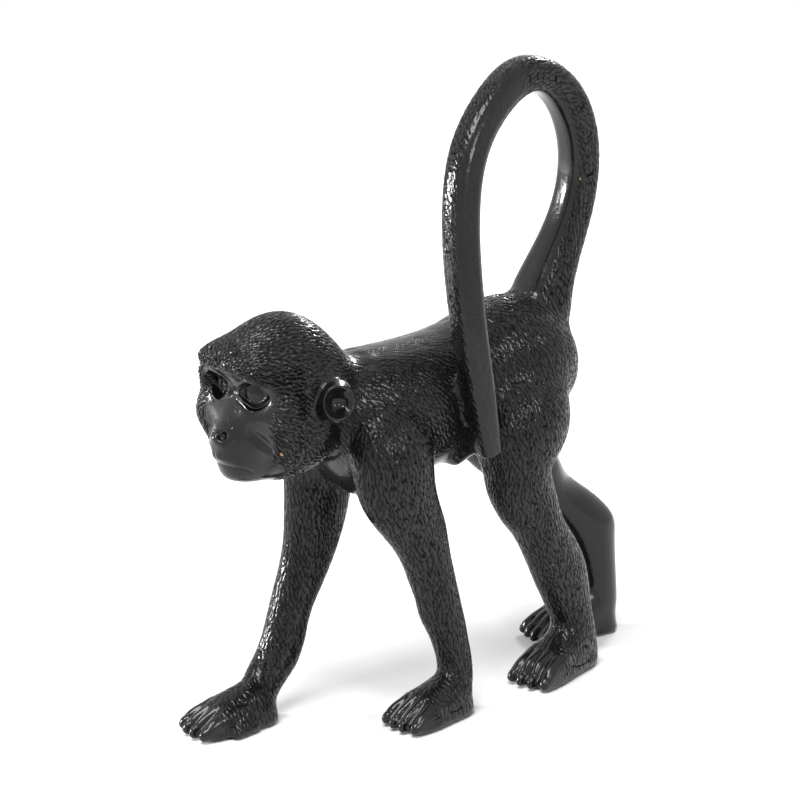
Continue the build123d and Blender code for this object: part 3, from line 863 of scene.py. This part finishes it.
def line_distance(points, line):
    """How far each point is from a run of straight lines."""
    best = np.full(len(points), np.inf)
    for start, end in zip(line, line[1:]):
        way = end - start
        share = np.clip((points - start) @ way / (way @ way), 0.0, 1.0)
        best = np.minimum(best, np.linalg.norm(points - start - share[:, None] * way, axis=1))
    return best


def snap(tree, place):
    """The place on the skin nearest to a place."""
    return np.array(tree.find(place)[0])


def sculpt_face(mesh):
    """Models the face: cheeks, muzzle, mouth, nose and eyes."""
    points = mesh_points(mesh)
    front = np.flatnonzero((points[:, 1] < FACE_FINE_BACK) & (points[:, 2] > FACE_FINE_LOW))
    face = points[front]
    for place, reach, way in PULLS:
        for side in sides_of(place):
            mirror = np.array((side, 1.0, 1.0))
            face = pull(face, mirror * place, reach, mirror * way)
    for place, reach, way in FAR_PULLS:
        face = pull(face, place, reach, way)
    face = sculpt_eyes(face)
    points[front] = face
    set_points(mesh, points)
    normals = mesh_normals(mesh)[front]
    points[front] = draw_strokes(face, normals)
    beside = np.flatnonzero(spot_weight(points, EAR, EAR_REGION) > 0.0)
    points[beside] = sculpt_ears(points[beside])
    set_points(mesh, points)


def draw_strokes(face, normals):
    """Draws the mouth, folds and nose on the face."""
    tree = KDTree(len(face))
    for number, place in enumerate(face):
        tree.insert(place, number)
    tree.balance()
    height = np.zeros(len(face))
    for half_width, tall, line in STROKES:
        for side in (1.0, -1.0):
            mirror = np.array((side, 1.0, 1.0))
            snapped = [snap(tree, mirror * place) for place in line]
            profile = np.exp(-((line_distance(face, snapped) / half_width) ** 2))
            height += tall * profile * stroke_share(line, face)
    for side in (1.0, -1.0):
        middle = snap(tree, np.array(NOSTRIL) * (side, 1.0, 1.0))
        distance = np.linalg.norm(face - middle, axis=1)
        height -= NOSTRIL_DEPTH * np.exp(-((distance / NOSTRIL_RADIUS) ** 4))
    return face + normals * height[:, None]


def stroke_share(line, face):
    """Half strength near the mid-plane for a line that starts there, as its mirror image adds the rest."""
    if line[0][0] != 0.0:
        return 1.0
    return 1.0 - np.exp(-((face[:, 0] / MIDLINE) ** 2)) / 2.0


def carve_skin(mesh, carving):
    """Carves the fused skin and returns what the paint needs to know at each point, with the stroke depth as
    painted shade in the grooves.
    """
    points, normals = mesh_points(mesh), mesh_normals(mesh)
    labels = vertex_labels(mesh)[0]
    strand = strand_places(points, normals, labels)
    mask = fur_mask(points, normals, labels)
    depth, crest = carve_fur(points, normals, labels, mask, carving)
    rise = crest * carving.crest * (1.0 - depth) - depth * carving.depth
    rise *= np.where(labels == HEAD, 1.0 + TUFT_GAIN * face_border(points), BODY_RELIEF)
    set_points(mesh, points + normals * rise[:, None])
    bare = FACE_DULL * (1.0 - mask) * (labels == HEAD)
    # Painted shade: the stroke depth darkens the grooves by taking shine out of the paint; the bare face and
    # eyeballs lose some shine as well.
    painted_shade_and_dull = np.maximum.reduce((depth, bare, EYE_DULL * eye_mask(points)))
    return {"fur": mask, "groove": painted_shade_and_dull, "along": strand[0], "around": strand[1]}


def strand_places(points, normals, labels):
    """How far along the lie of the fur, and how far round the limb, each point is in millimetres."""
    x, y, z = points.T
    along = np.array(y)
    around = np.arctan2(normals[:, 0], normals[:, 2]) * BODY_GIRTH
    trunk = labels == TORSO
    along[trunk] = (y * math.cos(FLANK_LIE) - z * math.sin(FLANK_LIE))[trunk]
    around[trunk] = (x + y * math.sin(FLANK_LIE) + z * math.cos(FLANK_LIE))[trunk]
    limbs = np.isin(labels, ARMS + LEGS)
    side = np.where(np.isin(labels, (LEFT_ARM, LEFT_LEG)), 1.0, -1.0)
    along[limbs] = -z[limbs]
    around[limbs] = (np.arctan2(normals[:, 1], normals[:, 0] * side) * LIMB_GIRTH)[limbs]
    tail = labels == TAIL
    along[tail] = (np.arctan2(z - LOOP_MIDDLE[1], y - LOOP_MIDDLE[0]) * LOOP_GIRTH)[tail]
    outward = unit(np.stack((y - LOOP_MIDDLE[0], z - LOOP_MIDDLE[1]), 1))
    facing = np.sum(outward * normals[:, 1:], axis=1)
    around[tail] = (np.arctan2(normals[:, 0], facing) * TAIL_GIRTH)[tail]
    around += labels * GIRTH_STEP
    around[tail] += TAIL_SLANT * along[tail]
    return along, around


def cap_holes(mesh, normals):
    """Turns the open ends of a casting inwards and closes them, and returns the rim's vertices in order."""
    work = bmesh.new()
    work.from_mesh(mesh)
    edges = [edge for edge in work.edges if edge.is_boundary]
    rim = sorted({vertex.index for edge in edges for vertex in edge.verts})
    work.verts.ensure_lookup_table()
    sunk = [(index, work.verts[index].co - Vector(normals[index]) * CAP_DEPTH * MM) for index in rim]
    inner = {index: work.verts.new(place) for index, place in sunk}
    loop = []
    for edge in edges:
        corner = edge.link_loops[0]
        one, two = corner.vert, corner.link_loop_next.vert
        work.faces.new((two, one, inner[one.index], inner[two.index]))
        loop.append(work.edges.get((inner[one.index], inner[two.index])))
    caps = bmesh.ops.holes_fill(work, edges=loop, sides=0)["faces"]
    bmesh.ops.triangulate(work, faces=caps)
    for face in work.faces:
        face.smooth = True
    work.to_mesh(mesh)
    work.free()
    return np.array(rim, int)


def split_casting(skin, number, normals, shift, marks):
    """The part of the skin that lies on one casting, as a mesh of its own in the row frame."""
    labels = read_faces(skin, "casting")
    points = mesh_points(skin)
    faces = [tuple(face.vertices) for face in skin.polygons if labels[face.index] == number]
    used = np.unique(np.array([vertex for face in faces for vertex in face]))
    place = np.full(len(points), -1)
    place[used] = np.arange(len(used))
    mesh = bpy.data.meshes.new(CASTINGS[number] + "_skin")
    rows = (points[used] - shift) * MM
    mesh.from_pydata(rows.tolist(), [], [[int(place[vertex]) for vertex in face] for face in faces])
    for key, values in marks.items():
        layer = mesh.attributes.new(key, "FLOAT", "POINT")
        layer.data.foreach_set("value", values[used].astype(np.float32))
    rim = cap_holes(mesh, normals[used])
    mesh.normals_split_custom_set_from_vertices(np.vstack((normals[used], normals[used][rim])).tolist())
    return mesh


def new_piece(name, mesh, material, slot, *nodes):
    """Puts a finished piece in the scene in place of its CAD node."""
    piece = bpy.data.objects.new(name, mesh)
    bpy.context.scene.collection.objects.link(piece)
    mesh.materials.clear()
    mesh.materials.append(material)
    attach(piece, BODY)
    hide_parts(*nodes)
    return piece


class Nodes:
    """A short way to build a material's node tree."""

    def __init__(self, tree):
        self.tree = tree
        tree.nodes.clear()

    def add(self, kind, inputs=None, **settings):
        """Adds a node, sets it up and joins or fills its inputs."""
        node = self.tree.nodes.new(kind)
        for key, value in settings.items():
            setattr(node, key, value)
        for key, value in (inputs or {}).items():
            if isinstance(value, bpy.types.NodeSocket):
                self.tree.links.new(value, node.inputs[key])
            else:
                node.inputs[key].default_value = value
        return node


def new_material(name):
    """An empty node material."""
    material = bpy.data.materials.new(name)
    material.use_nodes = True
    return material, Nodes(material.node_tree)


def lacquer_material(finish):
    """Black paint over resin: nearly glossy, slightly uneven, with a few worn gold flecks and painted shade
    in the grooves and cut dashes.
    """
    material, nodes = new_material("black_lacquer")
    place = nodes.add("ShaderNodeTexCoord").outputs["Object"]
    cloud = nodes.add("ShaderNodeTexNoise", {"Vector": place, "Scale": 60.0, "Detail": 4.0})
    sheen = nodes.add(
        "ShaderNodeMapRange",
        {
            "Value": cloud.outputs["Fac"],
            "From Min": 0.3,
            "From Max": 0.7,
            "To Min": finish.roughness - 0.06,
            "To Max": finish.roughness + 0.08,
        },
    )
    fleck = nodes.add("ShaderNodeTexNoise", {"Vector": place, "Scale": 170.0, "Detail": 1.0})
    worn = nodes.add(
        "ShaderNodeMapRange",
        {
            "Value": fleck.outputs["Fac"],
            "From Min": finish.fleck_level,
            "From Max": finish.fleck_level + FLECK_EDGE,
        },
    )
    tint = nodes.add(
        "ShaderNodeMix",
        {"Factor": worn.outputs["Result"], "A": (*finish.black, 1.0), "B": (*finish.gold, 1.0)},
        data_type="RGBA",
    )
    fur = nodes.add("ShaderNodeAttribute", attribute_name="fur").outputs["Fac"]
    # The groove mark holds painted shade in the carved grooves, together with the lost shine of the bare face
    # and eyeballs.
    groove = nodes.add("ShaderNodeAttribute", attribute_name="groove").outputs["Fac"]
    along = nodes.add("ShaderNodeAttribute", attribute_name="along").outputs["Fac"]
    around = nodes.add("ShaderNodeAttribute", attribute_name="around").outputs["Fac"]
    slow = nodes.add("ShaderNodeMath", {0: along, 1: finish.strand_length}, operation="DIVIDE")
    quick = nodes.add("ShaderNodeMath", {0: around, 1: finish.strand_width}, operation="DIVIDE")
    lie = nodes.add("ShaderNodeCombineXYZ", {"X": slow.outputs["Value"], "Y": quick.outputs["Value"]})
    grain = nodes.add(
        "ShaderNodeTexNoise",
        {"Vector": lie.outputs["Vector"], "Scale": 1.0, "Detail": 2.0, "Distortion": 0.4},
    )
    cut = nodes.add(
        "ShaderNodeMapRange",
        {
            "Value": grain.outputs["Fac"],
            "From Min": finish.dash_level,
            "From Max": finish.dash_level + DASH_EDGE,
        },
    )
    dashes = nodes.add("ShaderNodeMath", {0: cut.outputs["Result"], 1: fur}, operation="MULTIPLY")
    dash = dashes.outputs["Value"]
    skin = nodes.add("ShaderNodeTexNoise", {"Vector": place, "Scale": 480.0, "Detail": 2.0})
    bare = nodes.add("ShaderNodeMapRange", {"Value": fur, "To Min": finish.skin, "To Max": 0.0})
    pores = nodes.add(
        "ShaderNodeBump",
        {"Height": skin.outputs["Fac"], "Strength": bare.outputs["Result"], "Distance": PORE_DEPTH},
    )
    rough = nodes.add("ShaderNodeMapRange", {"Value": fur, "To Min": 0.0, "To Max": finish.grain})
    bump = nodes.add(
        "ShaderNodeBump",
        {
            "Height": dash,
            "Strength": rough.outputs["Result"],
            "Distance": DASH_DEPTH,
            "Normal": pores.outputs["Normal"],
        },
        invert=True,
    )
    # Painted shade: shine and coat fall in the carved grooves and in the cut dashes.
    painted_shade_and_dull = nodes.add("ShaderNodeMath", {0: groove, 1: dash}, operation="MAXIMUM").outputs["Value"]
    shine = nodes.add("ShaderNodeMapRange", {"Value": painted_shade_and_dull, "To Min": SHINE, "To Max": SHADED_GROOVE_SHINE})
    coat = nodes.add("ShaderNodeMapRange", {"Value": painted_shade_and_dull, "To Min": finish.coat, "To Max": 0.0})
    surface = nodes.add(
        "ShaderNodeBsdfPrincipled",
        {
            "Base Color": tint.outputs["Result"],
            "Roughness": sheen.outputs["Result"],
            "Normal": bump.outputs["Normal"],
            "Specular IOR Level": shine.outputs["Result"],
            "Coat Weight": coat.outputs["Result"],
            "Coat Roughness": finish.coat_roughness,
        },
    )
    nodes.add("ShaderNodeOutputMaterial", {"Surface": surface.outputs["BSDF"]})
    return material


def steel_material():
    """Drawn steel rod with fine lines."""
    material, nodes = new_material("drawn_steel")
    place = nodes.add("ShaderNodeTexCoord").outputs["Object"]
    lines = nodes.add("ShaderNodeTexNoise", {"Vector": place, "Scale": 900.0, "Detail": 2.0})
    sheen = nodes.add(
        "ShaderNodeMapRange", {"Value": lines.outputs["Fac"], "To Min": 0.25, "To Max": 0.45}
    )
    surface = nodes.add(
        "ShaderNodeBsdfPrincipled",
        {"Base Color": (0.52, 0.53, 0.55, 1.0), "Metallic": 1.0, "Roughness": sheen.outputs["Result"]},
    )
    nodes.add("ShaderNodeOutputMaterial", {"Surface": surface.outputs["BSDF"]})
    return material


def felt_material():
    """Matted black felt."""
    material, nodes = new_material("black_felt")
    place = nodes.add("ShaderNodeTexCoord").outputs["Object"]
    fibre = nodes.add("ShaderNodeTexNoise", {"Vector": place, "Scale": 1500.0, "Detail": 5.0})
    tint = nodes.add(
        "ShaderNodeMix",
        {"Factor": fibre.outputs["Fac"], "A": (0.008, 0.008, 0.008, 1.0), "B": (0.03, 0.03, 0.03, 1.0)},
        data_type="RGBA",
    )
    bump = nodes.add(
        "ShaderNodeBump", {"Height": fibre.outputs["Fac"], "Strength": 0.6, "Distance": 0.0004}
    )
    surface = nodes.add(
        "ShaderNodeBsdfPrincipled",
        {
            "Base Color": tint.outputs["Result"],
            "Roughness": 0.95,
            "Normal": bump.outputs["Normal"],
            "Sheen Weight": 0.4,
        },
    )
    nodes.add("ShaderNodeOutputMaterial", {"Surface": surface.outputs["BSDF"]})
    return material


class FigurineCarving(bpy.types.PropertyGroup):
    """How the castings are carved, in millimetres."""

    voxel: FloatProperty(
        name="Skin Step", description="Step of the fused skin before it is refined", default=0.8
    )
    length: FloatProperty(name="Stroke Length", description="Length of one fur stroke", default=5.2)
    width: FloatProperty(name="Stroke Width", description="Width of one fur stroke", default=1.2)
    depth: FloatProperty(name="Stroke Depth", description="Depth of one fur stroke", default=0.5)
    crest: FloatProperty(name="Stroke Crest", description="Height of the lips beside a stroke", default=0.2)
    spacing: FloatProperty(name="Stroke Spacing", description="Least distance between strokes", default=2.3)
    waver: FloatProperty(
        name="Stroke Waver",
        description="How far strokes turn from the lie of the fur",
        default=0.18,
        subtype="ANGLE",
    )
    tries: IntProperty(
        name="Stroke Tries", description="How many places are tried for a stroke", default=110000
    )
    seed: IntProperty(name="Seed", description="Start of the random numbers", default=7)


class FigurineFinish(bpy.types.PropertyGroup):
    """How the painted resin looks."""

    black: FloatVectorProperty(
        name="Paint", description="Colour of the paint", default=(0.006, 0.0063, 0.007), subtype="COLOR"
    )
    gold: FloatVectorProperty(
        name="Fleck", description="Colour of the worn flecks", default=(0.45, 0.30, 0.10), subtype="COLOR"
    )
    fleck_level: FloatProperty(name="Fleck Level", description="Higher leaves fewer flecks", default=0.80)
    roughness: FloatProperty(
        name="Roughness", description="Roughness of the paint", default=0.18, subtype="FACTOR"
    )
    coat: FloatProperty(
        name="Coat", description="Strength of the clear coat", default=0.25, subtype="FACTOR"
    )
    coat_roughness: FloatProperty(
        name="Coat Roughness", description="Roughness of the clear coat", default=0.06, subtype="FACTOR"
    )
    grain: FloatProperty(
        name="Grain", description="Strength of the fine strands", default=0.7, subtype="FACTOR"
    )
    dash_level: FloatProperty(name="Dash Level", description="Higher leaves fewer cut dashes", default=0.56)
    skin: FloatProperty(
        name="Skin", description="Strength of the pores on bare parts", default=0.45, subtype="FACTOR"
    )
    strand_length: FloatProperty(
        name="Strand Length", description="Length of a strand in millimetres", default=3.4
    )
    strand_width: FloatProperty(
        name="Strand Width", description="Width of a strand in millimetres", default=0.8
    )


class FigurineStage(bpy.types.PropertyGroup):
    """Camera and light."""

    azimuth: FloatProperty(
        name="Azimuth",
        description="Camera turn about the figure",
        default=math.radians(52.0),
        subtype="ANGLE",
    )
    elevation: FloatProperty(
        name="Elevation", description="Camera height angle", default=math.radians(15.5), subtype="ANGLE"
    )
    distance: FloatProperty(name="Distance", description="Camera distance", default=1.6, unit="LENGTH")
    target: FloatVectorProperty(
        name="Target",
        description="Place the camera looks at",
        default=(-0.01132, -0.02007, 0.190),
        subtype="TRANSLATION",
    )
    lens: FloatProperty(name="Lens", description="Focal length in millimetres", default=118.8)
    ambient: FloatProperty(name="Ambient", description="Strength of the room's light", default=0.12)
    key: FloatProperty(name="Key", description="Strength of the main light", default=3.1)
    softness: FloatProperty(
        name="Softness",
        description="Angle the main light spans",
        default=math.radians(32.0),
        subtype="ANGLE",
    )


class FIGURINE_OT_castings(bpy.types.Operator):
    """Fuses, blends and carves the seven painted castings"""

    bl_idname = "figurine.castings"
    bl_label = "Build Castings"

    def execute(self, context):
        carving = context.scene.figurine_carving
        shift = sculpt_shift()
        skin = fuse_castings(shift, carving.voxel)
        soften(skin)
        refine_face(skin)
        sculpt_face(skin)
        sculpt_fingers(skin)
        marks = carve_skin(skin, carving)
        normals = mesh_normals(skin)
        material = lacquer_material(context.scene.figurine_finish)
        for number, name in enumerate(CASTINGS):
            mesh = split_casting(skin, number, normals, shift, marks)
            new_piece(name + "_casting", mesh, material, "black_resin", name)
        bpy.data.meshes.remove(skin)
        return {"FINISHED"}


def rounded_felt(mesh):
    """A felt pad with its cut edges rounded."""
    mesh = evaluated(mesh, "REMESH", mode="VOXEL", voxel_size=FELT_STEP * MM, use_smooth_shade=True)
    points, edges = mesh_points(mesh), mesh_edges(mesh)
    low, high = points.min(0), points.max(0)
    points = relax(points, edges, np.ones(len(points)), FELT_PASSES)
    points[:, 2] = low[2] + (points[:, 2] - points[:, 2].min()) * (high[2] - low[2]) / np.ptp(points[:, 2])
    set_points(mesh, points)
    return mesh


class FIGURINE_OT_pads(bpy.types.Operator):
    """Lays the felt pads under the paws"""

    bl_idname = "figurine.pads"
    bl_label = "Build Pads"

    def execute(self, context):
        material = felt_material()
        for name in PADS:
            mesh = rounded_felt(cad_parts[name].data.copy())
            new_piece(name + "_felt", mesh, material, "felt", name)
        return {"FINISHED"}


class FIGURINE_OT_steel(bpy.types.Operator):
    """Finishes the hidden steel rods and pins"""

    bl_idname = "figurine.steel"
    bl_label = "Finish Steel"

    def execute(self, context):
        material = steel_material()
        for name in STEEL:
            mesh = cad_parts[name].data
            mesh.materials.clear()
            mesh.materials.append(material)
        return {"FINISHED"}


def add_camera(stage):
    """Places the camera at the photograph's viewing angle."""
    data = bpy.data.cameras.new("camera")
    data.sensor_width = SENSOR_WIDTH
    data.lens = stage.lens
    data.clip_start = NEAR_CLIP
    camera = bpy.data.objects.new("camera", data)
    bpy.context.scene.collection.objects.link(camera)
    level = math.cos(stage.elevation)
    back = Vector(
        (math.sin(stage.azimuth) * level, -math.cos(stage.azimuth) * level, math.sin(stage.elevation))
    )
    camera.rotation_mode = "QUATERNION"
    camera.location = Vector(stage.target) + back * stage.distance
    camera.rotation_quaternion = (-back).to_track_quat("-Z", "Y")
    bpy.context.scene.camera = camera


def add_area(name, place, size, power):
    """A square soft light aimed at the figure's middle."""
    data = bpy.data.lights.new(name, "AREA")
    data.shape = "SQUARE"
    data.size = size
    data.energy = power
    lamp = bpy.data.objects.new(name, data)
    bpy.context.scene.collection.objects.link(lamp)
    lamp.location = place
    lamp.rotation_mode = "QUATERNION"
    lamp.rotation_quaternion = (Vector(LAMP_TARGET) - Vector(place)).to_track_quat("-Z", "Y")


def add_sun(name, way, strength, softness):
    """A wide soft light from far away, so that the floor is lit evenly."""
    data = bpy.data.lights.new(name, "SUN")
    data.energy = strength
    data.angle = softness
    lamp = bpy.data.objects.new(name, data)
    bpy.context.scene.collection.objects.link(lamp)
    lamp.rotation_mode = "QUATERNION"
    lamp.rotation_quaternion = Vector(way).to_track_quat("Z", "Y")


def add_floor():
    """A plain pale floor."""
    mesh = bpy.data.meshes.new("floor")
    signs = ((-1.0, -1.0), (1.0, -1.0), (1.0, 1.0), (-1.0, 1.0))
    mesh.from_pydata([(x * FLOOR_HALF, y * FLOOR_HALF, 0.0) for x, y in signs], [], [(0, 1, 2, 3)])
    material, nodes = new_material("pale_floor")
    surface = nodes.add("ShaderNodeBsdfDiffuse", {"Color": (FLOOR_TONE, FLOOR_TONE, FLOOR_TONE, 1.0)})
    nodes.add("ShaderNodeOutputMaterial", {"Surface": surface.outputs["BSDF"]})
    mesh.materials.append(material)
    floor = bpy.data.objects.new("floor", mesh)
    bpy.context.scene.collection.objects.link(floor)


def add_world(stage):
    """Soft room light, seen by the camera and in reflections as plain white."""
    world = bpy.data.worlds.new("studio")
    bpy.context.scene.world = world
    world.use_nodes = True
    nodes = Nodes(world.node_tree)
    path = nodes.add("ShaderNodeLightPath")
    direct = nodes.add(
        "ShaderNodeMath",
        {0: path.outputs["Is Camera Ray"], 1: path.outputs["Is Transmission Ray"]},
        operation="MAXIMUM",
    )
    seen = nodes.add(
        "ShaderNodeMath",
        {0: direct.outputs["Value"], 1: path.outputs["Is Glossy Ray"]},
        operation="MAXIMUM",
    )
    room = nodes.add("ShaderNodeBackground", {"Color": (1.0, 1.0, 1.0, 1.0), "Strength": stage.ambient})
    white = nodes.add("ShaderNodeBackground", {"Color": (1.0, 1.0, 1.0, 1.0), "Strength": 1.0})
    mixed = nodes.add(
        "ShaderNodeMixShader",
        {"Fac": seen.outputs["Value"], 1: room.outputs["Background"], 2: white.outputs["Background"]},
    )
    nodes.add("ShaderNodeOutputWorld", {"Surface": mixed.outputs["Shader"]})


class FIGURINE_OT_stage(bpy.types.Operator):
    """Sets the floor, light and camera"""

    bl_idname = "figurine.stage"
    bl_label = "Build Stage"

    def execute(self, context):
        stage = context.scene.figurine_stage
        add_floor()
        add_world(stage)
        add_sun("key", KEY_WAY, stage.key, stage.softness)
        for name, place, size, power in LAMPS:
            add_area(name, place, size, power)
        add_camera(stage)
        context.scene.view_settings.view_transform = "Standard"
        return {"FINISHED"}


class FIGURINE_PT_panel(bpy.types.Panel):
    """Sidebar panel for the figurine"""

    bl_label = "Monkey Figurine"
    bl_idname = "FIGURINE_PT_panel"
    bl_space_type = "VIEW_3D"
    bl_region_type = "UI"
    bl_category = "Figurine"

    def draw(self, context):
        for name in ("figurine_carving", "figurine_finish", "figurine_stage"):
            group = getattr(context.scene, name)
            column = self.layout.column()
            for key in group.__annotations__:
                column.prop(group, key)
        for name in STEPS:
            self.layout.operator("figurine." + name)


STEPS = ("castings", "pads", "steel", "stage")
GROUPS = (FigurineCarving, FigurineFinish, FigurineStage)
CLASSES = GROUPS + (
    FIGURINE_OT_castings,
    FIGURINE_OT_pads,
    FIGURINE_OT_steel,
    FIGURINE_OT_stage,
    FIGURINE_PT_panel,
)


def register():
    """Adds the classes and the scene's settings to Blender."""
    for kind in CLASSES:
        bpy.utils.register_class(kind)
    bpy.types.Scene.figurine_carving = PointerProperty(type=FigurineCarving)
    bpy.types.Scene.figurine_finish = PointerProperty(type=FigurineFinish)
    bpy.types.Scene.figurine_stage = PointerProperty(type=FigurineStage)


def unregister():
    """Takes them out again."""
    del bpy.types.Scene.figurine_stage
    del bpy.types.Scene.figurine_finish
    del bpy.types.Scene.figurine_carving
    for kind in reversed(CLASSES):
        bpy.utils.unregister_class(kind)


def corners(box):
    """A box as plain lists."""
    return [list(corner) for corner in box]


def main():
    """Builds the figurine step by step."""
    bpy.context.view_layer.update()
    register()
    for name in STEPS:
        getattr(bpy.ops.figurine, name)()


if __name__ == "__main__":
    main()
